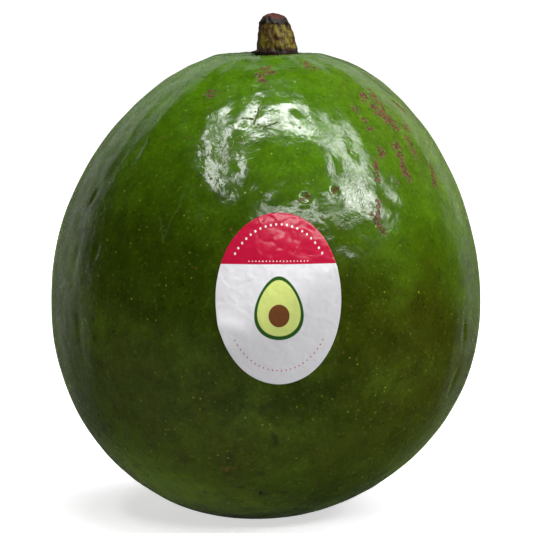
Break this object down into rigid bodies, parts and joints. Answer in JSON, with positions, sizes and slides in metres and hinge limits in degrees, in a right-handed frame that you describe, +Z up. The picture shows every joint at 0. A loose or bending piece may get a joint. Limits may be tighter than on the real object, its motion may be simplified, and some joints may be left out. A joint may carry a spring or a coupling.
{
  "type": "avocado",
  "caption": "Large, broad, slightly lopsided green-skinned avocado standing on its blossom end, with a short ribbed stub of stem and an oval two-tone label on its front.",
  "frame": {"origin": "middle of the small flat spot on the blossom end, which the fruit stands on", "axes": "+Z up towards the stem, -Y towards the side that carries the label, +X to the right seen from that side"},
  "size_m": [0.1144, 0.1114, 0.1339],
  "materials": {
    "skin": "gloss",
    "stem": "matte",
    "sticker": "satin"
  },
  "bodies": {
    "root": {"fruit": "skin", "stem": "stem", "sticker": "sticker"}
  },
  "joints": []
}
